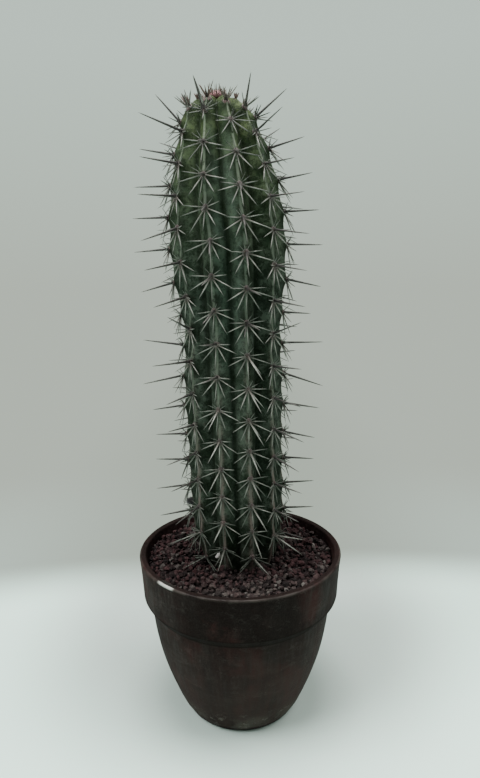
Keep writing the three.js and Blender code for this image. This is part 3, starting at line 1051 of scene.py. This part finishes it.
def makeSpines():
    # returns the pale spines that lie back and the dark ones that stand out
    random.seed(17)
    bends = [i - 1 for i in range(needles["shapes"])]
    thin = [makeNeedle("thin", bluntOutline, needles["thinSides"], needles["thinBend"] * bend)
            for bend in bends]
    stout = [makeNeedle("stout", stoutOutline, needles["stoutSides"], needles["stoutBend"] * bend)
             for bend in bends]
    pale, dark = [], []
    wide, tall, deep = needles["sideFeet"]
    middleFoot = Vector(needles["middleFoot"])
    for rib, number, height, size in areoleSeats():
        seatFrame = areoleFrame(rib, height)
        turn = seatFrame.to_3x3()
        youth = float(softStep(*needles["young"], height))
        rise = needles["rise"] * float(softStep(*needles["rising"], height))
        dull = readTable(dullStations, height / mm)
        growth = readTable(sideSpineStations, height / mm)

        def spineAt(models, way, length, thickness, foot, shade):
            root = seatFrame @ (foot * size)
            length *= mm * size
            way = clearOfGrit(root, turn @ way, length)
            width = thickness * mm * (0.55 + 0.45 * size) * (1 + 0.2 * youth)
            matrix = needleMatrix(root, way, length, width, random.uniform(0, 6))
            return copyAt(random.choice(models), matrix, youth * random.uniform(0.7, 1), shade)

        for angle, length, lift, thickness in sideSpines:
            if abs(angle) > 100 and random.random() < needles["lost"]:
                continue
            way = turned(angle + vary(6), lift + vary(7))
            way = (way + turn.transposed() @ up * rise).normalized()
            foot = Vector((way.x * wide, way.y * tall, deep - youth * mm))
            length *= (1 + vary(0.12)) * growth
            shade = 0.75 * random.random() ** 0.8 + dull
            shade = max(shade, readTable(turnStations, abs(angle)))
            pale.append(spineAt(thin, way, length, thickness, foot, shade))
        for length, tilt, sway, thickness, isPale in middleSpines(rib, number, height):
            shade = random.random() * 0.5 + dull * 0.6
            made = spineAt(stout, swayed(tilt, sway), length, thickness, middleFoot, shade)
            (pale if isPale else dark).append(made)
    pale += crownSpines(thin)
    discard(thin + stout)
    return joined(pale, "paleSpines"), joined(dark, "longSpines")


def crownSpines(models):
    # short reddish spines that still stand together over the growing tip
    spines = []
    for x, y, share in spread(crown["spines"]):
        way = Vector((x, y, 1.8 - share * 0.6)).normalized()
        reach = crown["spineReach"]
        root = Vector(crown["middle"]) + Vector((way.x * reach, way.y * reach, -2 * mm * share))
        length = random.uniform(*crown["spineLengths"]) * mm
        width = random.uniform(*crown["spineWidths"]) * mm
        matrix = needleMatrix(root, way, length, width, random.uniform(0, 6))
        model, youth = random.choice(models), random.uniform(0.7, 1)
        spines.append(copyAt(model, matrix, youth, random.random()))
    return spines


# colours along a spine from its foot to its tip, and those of a young and of a dull one
spineLooks = {
    "paleSpine": {
        "along": [(0.0, (0.036, 0.025, 0.021)), (0.16, (0.115, 0.094, 0.084)),
                  (0.42, (0.320, 0.309, 0.280)), (0.75, (0.175, 0.175, 0.156)),
                  (1.0, (0.065, 0.061, 0.053))],
        "young": (0.135, 0.070, 0.058),
        "dull": (0.048, 0.054, 0.043),
    },
    "longSpine": {
        "along": [(0.0, (0.008, 0.006, 0.0055)), (0.25, (0.022, 0.018, 0.016)),
                  (0.55, (0.070, 0.064, 0.059)), (0.85, (0.090, 0.084, 0.076)),
                  (1.0, (0.045, 0.040, 0.036))],
        "young": (0.030, 0.014, 0.012),
        "dull": (0.020, 0.017, 0.015),
    },
}


def spineFinish(name):
    spine = Finish(name, 0.6, spineLooks[name])
    mottled = spine.attribute("along") + (spine.noise(260, 3, 0.5) - 0.5) * 0.3
    spine.set("Base Color", spine.layers(
        spine.ramp(mottled, "along"),
        (spine.attribute("shade") * 0.85, "dull"),
        (spine.attribute("tint") * 0.8, "young")))
    spine.set("Specular IOR Level", 0.3)
    spine.bump(spine.noise(900, 2, 0.5), 0.25, 0.1 * mm)
    return spine.material


# The grit

grit = {
    "bed": 138.4 * mm,
    "bedUneven": 0.8 * mm,
    "bedShadeTint": 0.12,
    "bedSteps": 22,
    "bedGap": 0.4 * mm,   # between the bed and the pot's wall or the stem
    "lift": 1.4 * mm,
    "depths": (-0.8, 0.9),   # how deep and how high grains lie, in shares of their size
    "uneven": 0.9 * mm,   # and how far the whole bed of them waves up and down
    "mound": 1.1 * mm,   # how far they rise against the stem, and how far from it that starts
    "moundReach": 14 * mm,
    "grains": 1900,
    "smallest": 1.35 * mm,
    "largest": 3.2 * mm,
    "fewLarge": 1.8,   # the higher, the fewer large ones
    "shapes": 12,
    "cuts": 4,
    "chip": (-19.3 * mm, -28.8 * mm, 153 * mm),   # a white splinter caught at the stem's foot
    "chipSize": (1.5 * mm, 0.9 * mm, 3.0 * mm),
}


def makeGrainModel(index):
    # a rough ball with its corners knocked about, broken along a few planes
    selectNothing()
    bpy.ops.mesh.primitive_ico_sphere_add(subdivisions=1, radius=1.15)
    obj = bpy.context.object
    obj.name = f"grain{index}"
    editAll(obj)
    bpy.ops.transform.vertex_random(offset=0.3, seed=index)
    for _ in range(grit["cuts"]):
        bpy.ops.mesh.select_all(action="SELECT")
        away = Vector([random.gauss(0, 1) for _ in range(3)]).normalized()
        bpy.ops.mesh.bisect(plane_co=away * random.uniform(0.5, 0.85), plane_no=away,
                            clear_outer=True, use_fill=True)
    bpy.ops.mesh.select_all(action="SELECT")
    bpy.ops.mesh.quads_convert_to_tris()
    bpy.ops.mesh.normals_make_consistent(inside=False)
    smooth(endEdit(), 28)
    return obj


aroundFoot = range(-6, 7)   # ribs, counted both ways from the first one past the stem's back
footTurns = [ribTurn(rib, stem["ribsFull"]) for rib in aroundFoot]


def stemReach(angle, height):
    # how far the ribbed stem's foot reaches from its middle in one direction
    ribs = float(np.interp(angle, footTurns, aroundFoot))
    off = 2 * abs(ribs - round(ribs))
    depth = stem["depthShare"] * float(softStep(stem["ribsStart"], stem["ribsFull"], height))
    return crestAt(height) * (1 - depth * float(flankShare(off)))


def makeGrit():
    random.seed(31)
    models = [makeGrainModel(i) for i in range(grit["shapes"])]
    bed, growth = grit["bed"], grit["largest"] - grit["smallest"]
    inner, outer = stemReach(math.radians(36), bed), hollowRadius(bed)
    pieces = []
    for i in range(grit["grains"]):
        # evenly over the ring between stem and wall, and left out where the stem's ribs are
        share = (i + random.random()) / grit["grains"]
        reach = math.sqrt(inner ** 2 + (outer ** 2 - inner ** 2) * share)
        angle = i * goldenTurn + vary(0.04)
        size = grit["smallest"] + growth * random.random() ** grit["fewLarge"]
        reach = min(reach, outer - size * 0.95)
        x, y = reach * math.sin(angle), -reach * math.cos(angle)
        aside = x - leanAt(bed)
        free = math.hypot(aside, y) - stemReach(math.atan2(aside, -y), bed)
        if free < size * 0.55:
            continue
        height = bed + grit["uneven"] * noise.noise(Vector((x, y, 0)) * 60)
        height += grit["mound"] * float(softStep(grit["moundReach"], 0, free))
        height += grit["lift"] + random.uniform(*grit["depths"]) * size
        turn = Matrix.Rotation(random.uniform(0, 6.28), 4, "Z")
        turn = turn @ Matrix.Rotation(random.uniform(0, 3.14), 4, "X")
        wide, thick = size * random.uniform(0.75, 1), size * random.uniform(0.6, 0.9)
        matrix = Matrix.Translation((x, y, height)) @ turn @ sized(size, wide, thick)
        pieces.append(copyAt(random.choice(models), matrix, random.random()))
    chip = Matrix.Rotation(0.5, 4, "Y") @ sized(*grit["chipSize"])
    pieces.append(copyAt(models[0], Matrix.Translation(grit["chip"]) @ chip, 2))
    discard(models)
    return joined(pieces, "lavaGrit")


def makeBed():
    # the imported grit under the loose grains, with the stem's own hole in it
    low, top, gap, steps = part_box("gravel")[0].z, grit["bed"], grit["bedGap"], grit["bedSteps"]
    inner, outer = 20 * mm, hollowRadius(top) - gap
    rings = [(inner, low, 0), (hollowRadius(low) - gap, low, 0), (outer, top, 0)]
    rings += [(outer + (inner - outer) * i / steps, top, 0) for i in range(1, steps + 1)]
    count = stem["ribs"] * stem["cornersPerRib"]
    obj = closeUp(pullUp("packedGrit", rings + rings[:1], count, False))
    places = readPlaces(obj)
    for place in places:
        reach, angle = math.hypot(place[0], place[1]), math.atan2(place[0], -place[1])
        hole = stemReach(angle, place[2]) + gap
        share = (reach - inner) / (outer - inner)
        fitted = hole + (outer - hole) * max(share, 0)
        if place[2] > low + 1 * mm:
            place[2] += grit["bedUneven"] * noise.noise(Vector(place) * 420)
        lean = leanAt(top) * (1 - share)
        place[0], place[1] = fitted * math.sin(angle) + lean, -fitted * math.cos(angle)
    setPlaces(obj, places)
    # the bed is tinted dark: painted shade for the grit seen between the loose grains
    giveValues(obj, "tint", grit["bedShadeTint"])
    smooth(obj, 30)
    return obj


gritLook = {
    # stone colours from the darkest grains to the palest
    "red": [(0.0, (0.0050, 0.0032, 0.0032)), (0.26, (0.0125, 0.0072, 0.0072)),
            (0.50, (0.0320, 0.0150, 0.0156)), (0.72, (0.0430, 0.0196, 0.0202)),
            (0.86, (0.0340, 0.0255, 0.0240)), (0.97, (0.0600, 0.0505, 0.0465)),
            (1.0, (0.1000, 0.0880, 0.0800))],
    "grey": [(0.0, (0.0070, 0.0050, 0.0045)), (0.25, (0.0180, 0.0140, 0.0130)),
             (0.55, (0.0430, 0.0350, 0.0320)), (0.85, (0.0680, 0.0600, 0.0530)),
             (1.0, (0.1150, 0.1050, 0.0950))],
    "blots": (0.0075, 0.0050, 0.0050),
    "holes": (0.0020, 0.0014, 0.0014),
    "chip": (0.55, 0.51, 0.49),
    # a pattern, as in the clay's table
    "greyPatches": (45, 3, 0.5, 0.36, 0.56),
}


def gritFinish():
    lava = Finish("lavaStone", 0.92, gritLook)
    y = lava.axes()[1]
    tint = lava.attribute("tint")
    blots = lava.noise(420, 4, 0.65)
    holes = lava.cells(1100)
    # grey grains lie mostly at the front
    front = (1 - y.between(-0.075, -0.03)) * lava.pattern("greyPatches")
    lava.set("Base Color", lava.layers(
        lava.ramp(tint, "red"),
        (front * 0.85, lava.ramp(tint, "grey")),
        (blots.between(0.35, 0.7) * 0.55, "blots"),
        # painted shade in the pits
        ((1 - holes.between(0.02, 0.35)) * 0.7, "holes"),
        (tint.between(1.5, 1.9), "chip")))
    lava.set("Specular IOR Level", 0.15)
    pits = lava.bump(holes, 0.7, 0.35 * mm)
    lava.bump(blots, 0.5, 0.4 * mm, pits)
    return lava.material


# The stage, the lights and the camera

stage = {
    "floor": (0.70, 0.93, 0.82),
    "shade": (0.45, 0.535, 0.49),   # painted shadow on the floor round the pot, reaching further behind it
    "shadeMiddle": (0.004, 0.125),
    "shadeFade": (0.145, 0.285),
    "wall": (0.685, 0.83, 0.735),
    "lowWall": (0.565, 0.635, 0.545),
    "nearWall": (0.66, 0.79, 0.70),   # where it meets the floor, with painted light from the lit pool
    "nearDepth": 0.5,   # how far behind the pool this ends
    "backWall": (0.50, 0.57, 0.485),   # in the plant's soft shade, which ends to both sides
    "backFade": (0.08, 0.42),
    "wallRise": 0.36,   # how steep a look upwards meets its upper colour
    "fill": 0.3,   # share of the wall's light that falls on things
    # the lit part of the floor is a wide round pool that ends softly behind the pot
    "poolMiddle": (0.10, -1.6),
    "poolRadius": 1.832,
    "poolEdge": 0.062,
}
# place, size, power and colour of each soft lamp; all of them shine on the pot
lamps = {
    "skyPanel": ((-0.03, -0.05, 1.6), 0.8, 30, (1.0, 1.0, 0.99)),
    "leftPanel": ((-0.98, -0.55, 1.55), 0.9, 38, (0.98, 1.0, 1.0)),
    "rightPanel": ((1.15, -0.1, 1.55), 1.3, 29, (1.0, 1.0, 0.99)),
}
lampTarget = Vector((0, 0, 0.1))
# The camera looks at the photo's middle: focal length and picture height are in pixels.
view = {"focal": 550, "pictureHeight": 778, "sensor": 36, "distance": 0.4692, "height": 0.3804,
        "pitch": 10.45, "roll": -0.5, "aside": 1.0 * mm}


def makeCamera():
    data = bpy.data.cameras.new("photoView")
    data.sensor_width = view["sensor"]
    data.lens = view["focal"] / view["pictureHeight"] * view["sensor"]
    data.clip_start, data.clip_end = 0.01, 20
    camera = bpy.data.objects.new("photoView", data)
    bpy.context.scene.collection.objects.link(camera)
    place = Matrix.Translation((view["aside"], -view["distance"], view["height"]))
    tilt = Matrix.Rotation(math.radians(90 - view["pitch"]), 4, "X")
    roll = Matrix.Rotation(math.radians(view["roll"]), 4, "Z")
    camera.matrix_world = place @ tilt @ roll
    bpy.context.scene.camera = camera


def makeFloor():
    selectNothing()
    bpy.ops.mesh.primitive_circle_add(vertices=96, radius=9, fill_type="NGON", location=(0, 0, 0))
    floor = settle(bpy.context.object)
    floor.name = "paleFloor"
    finish = Finish("palePaper", 0.7, stage)
    x, y, _ = finish.axes()

    def reach(middle):
        return ((x - middle[0]) ** 2 + (y - middle[1]) ** 2) ** 0.5

    # painted shadow round and behind the pot
    light = reach(stage["shadeMiddle"]).between(*stage["shadeFade"])
    finish.set("Base Color", finish.mix(light, "shade", "floor"))
    # past the pool it glows like the wall, with painted light near the pool and painted shade
    # behind the plant
    pool, edge = stage["poolRadius"], stage["poolEdge"]
    fromPool = reach(stage["poolMiddle"])
    far = fromPool.between(pool - edge, pool + edge)
    near = 1 - fromPool.between(pool, pool + stage["nearDepth"])
    beside = ((x ** 2) ** 0.5).between(*stage["backFade"])
    low, foot, behind = (finish.node("ShaderNodeEmission", inputs={"Color": name})
                         for name in ("lowWall", "nearWall", "backWall"))
    wall = finish.blend(beside, behind, finish.blend(near, low, foot))
    both = finish.blend(far, Wire(finish, finish.shader.outputs[0]), wall)
    finish.feed(finish.tree.nodes["Material Output"].inputs["Surface"], both)
    dress(floor, finish.material)


def makeLamps():
    for name, (place, size, power, colour) in lamps.items():
        data = bpy.data.lights.new(name, "AREA")
        data.shape, data.size, data.energy, data.color = "DISK", size, power, colour
        lamp = bpy.data.objects.new(name, data)
        bpy.context.scene.collection.objects.link(lamp)
        lamp.location = place
        lamp.rotation_euler = (lampTarget - Vector(place)).to_track_quat("-Z", "Y").to_euler()


def makeRoom():
    # a wall all round, seen at full strength, but lighting the plant only a little
    world = bpy.data.worlds.new("room")
    bpy.context.scene.world = world
    room = Nodes(world, "Background", "Generated", stage)
    rise = room.axes()[2]
    upwards = room.node("ShaderNodeMapRange", inputs={"Value": rise, "From Max": "wallRise"})
    seen = room.node("ShaderNodeLightPath", output="Is Camera Ray")
    strength = room.node("ShaderNodeMapRange", inputs={"Value": seen, "To Min": "fill"})
    # painted light on the wall: darker low down, lighter upwards
    room.set("Color", room.mix(upwards, "lowWall", "wall"))
    room.set("Strength", strength)


makeCamera()
makeLamps()
makeRoom()
makeFloor()
print("stage, lights and camera ready")

seat(makePot(), clayFinish(), "pot")
dress(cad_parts["soil"], soilFinish())
print("pot and soil ready")

gritStone = gritFinish()
seat(makeBed(), gritStone, "gravel")
seat(makeGrit(), gritStone, "gravel")
print("grit ready")

seat(makeStem(), skinFinish(), "cactus")
print("stem ready")
seat(makeCushions(), feltFinish(), "cactus")
paleSpines, longSpines = makeSpines()
seat(paleSpines, spineFinish("paleSpine"), "cactus")
seat(longSpines, spineFinish("longSpine"), "cactus")
print("areoles and spines ready")
